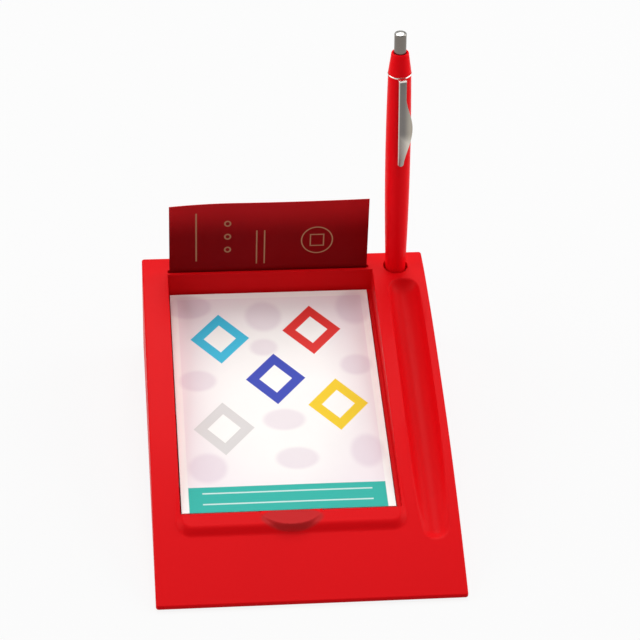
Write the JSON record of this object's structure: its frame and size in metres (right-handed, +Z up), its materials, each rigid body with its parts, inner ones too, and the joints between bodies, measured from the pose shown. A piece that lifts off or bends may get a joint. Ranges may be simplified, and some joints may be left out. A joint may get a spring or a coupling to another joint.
{
  "type": "memo holder",
  "caption": "Arched desk memo holder with a sloping tray for a memo pad, a slot for a name card, a pen groove and a socket that holds a click pen upright.",
  "frame": {"origin": "middle of the footprint, on the desk surface under the feet", "axes": "+X to the right as the user sits, +Y from the front lip to the back wall, +Z up"},
  "size_m": [0.127, 0.178, 0.1684],
  "materials": {
    "red_shell": "glossy moulded",
    "dark_cover": "fine matt",
    "screw_steel": "zinc plated",
    "foot_rubber": "matt",
    "grey_board": "raw",
    "sheet_paper": "uncoated",
    "pad_glue": "dried padding glue",
    "printed_paper": "coated print",
    "card_board": "coated card",
    "pen_red": "high gloss",
    "clip_metal": "polished",
    "button_metal": "polished",
    "inner_plastic": "plain",
    "refill_brass": "turned",
    "ball_steel": "ground",
    "spring_steel": "drawn wire"
  },
  "bodies": {
    "base": {"base_shell": "red_shell", "bottom_plate": "dark_cover", "cover_screws": "screw_steel", "rubber_feet": "foot_rubber"},
    "pad": {"pad_backing": "grey_board", "pad_sheets": "sheet_paper", "pad_binding": "pad_glue"},
    "top_sheet": {"pad_cover": "printed_paper"},
    "card": {"name_card": "card_board"},
    "pen": {"pen_barrel": "pen_red", "pen_cap": "pen_red", "pen_clip": "clip_metal", "return_spring": "spring_steel"},
    "button": {"push_button": "button_metal", "plunger_cam": "inner_plastic"},
    "refill": {"cam_rotor": "inner_plastic", "refill_tube": "inner_plastic", "refill_tip": "refill_brass", "writing_ball": "ball_steel"}
  },
  "joints": [
    {"name": "pad_lift", "type": "slide", "parent": "base", "child": "pad", "axis": [0, -0.1582, 0.9874], "range_m": [0, 0.03]},
    {"name": "sheet_turn", "type": "hinge", "parent": "pad", "child": "top_sheet", "pos_m": [-0.0069, 0.07555, 0.03739], "axis": [-1, 0, 0], "range_deg": [0, 85]},
    {"name": "card_lift", "type": "slide", "parent": "base", "child": "card", "axis": [0, 0, 1], "range_m": [0, 0.02]},
    {"name": "pen_lift", "type": "slide", "parent": "base", "child": "pen", "axis": [-0.0307, 0, 0.9995], "range_m": [0, 0.03]},
    {"name": "button_press", "type": "slide", "parent": "pen", "child": "button", "axis": [0.0307, 0, -0.9995], "range_m": [0, 0.0055], "stiffness_N_per_m": 300, "springref_m": -0.003},
    {"name": "refill_feed", "type": "slide", "parent": "pen", "child": "refill", "axis": [0.0307, 0, -0.9995], "range_m": [0, 0.0055], "deforming": ["return_spring"]}
  ],
  "couplings": [
    {"joint": "refill_feed", "follows": "button_press", "ratio": 1}
  ]
}
